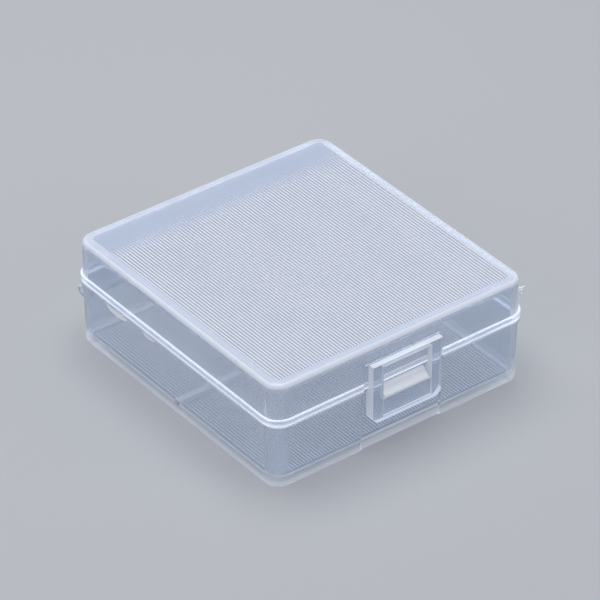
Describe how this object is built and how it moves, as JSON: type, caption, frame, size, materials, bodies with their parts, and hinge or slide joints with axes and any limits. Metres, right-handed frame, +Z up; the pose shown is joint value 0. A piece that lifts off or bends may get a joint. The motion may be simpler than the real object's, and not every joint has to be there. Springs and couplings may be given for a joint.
{
  "type": "nine volt battery case",
  "caption": "Clear moulded flip-lid case that holds nine volt batteries flat side by side; the lid swings on a moulded strap and a hinged front latch snaps over a catch.",
  "frame": {"origin": "centre of the tray's flat underside", "axes": "+X along the latch face to the right as seen from the front, +Y from the latch to the hinge, +Z up; the case stands closed on its underside"},
  "size_m": [0.0562, 0.0613, 0.0214],
  "materials": {
    "clear_polypropylene": "natural see-through polypropylene, smooth walls, finely ribbed lid and floor"
  },
  "bodies": {
    "tray": {"base_tray": "clear_polypropylene"},
    "strap": {"hinge_strap": "clear_polypropylene"},
    "lid": {"lid": "clear_polypropylene"},
    "latch": {"front_latch": "clear_polypropylene"}
  },
  "joints": [
    {"name": "strap_fold", "type": "hinge", "parent": "tray", "child": "strap", "pos_m": [0, 0.02965, 0.0078], "axis": [-1, 0, 0], "range_deg": [0, 90.1]},
    {"name": "lid_fold", "type": "hinge", "parent": "strap", "child": "lid", "pos_m": [0, 0.02959, 0.01381], "axis": [-1, 0, 0], "range_deg": [0, 90.1]},
    {"name": "latch_swing", "type": "hinge", "parent": "lid", "child": "latch", "pos_m": [0, -0.02942, 0.01798], "axis": [-1, 0, 0], "range_deg": [0, 95]}
  ],
  "couplings": [
    {"joint": "strap_fold", "follows": "lid_fold", "ratio": 1}
  ]
}
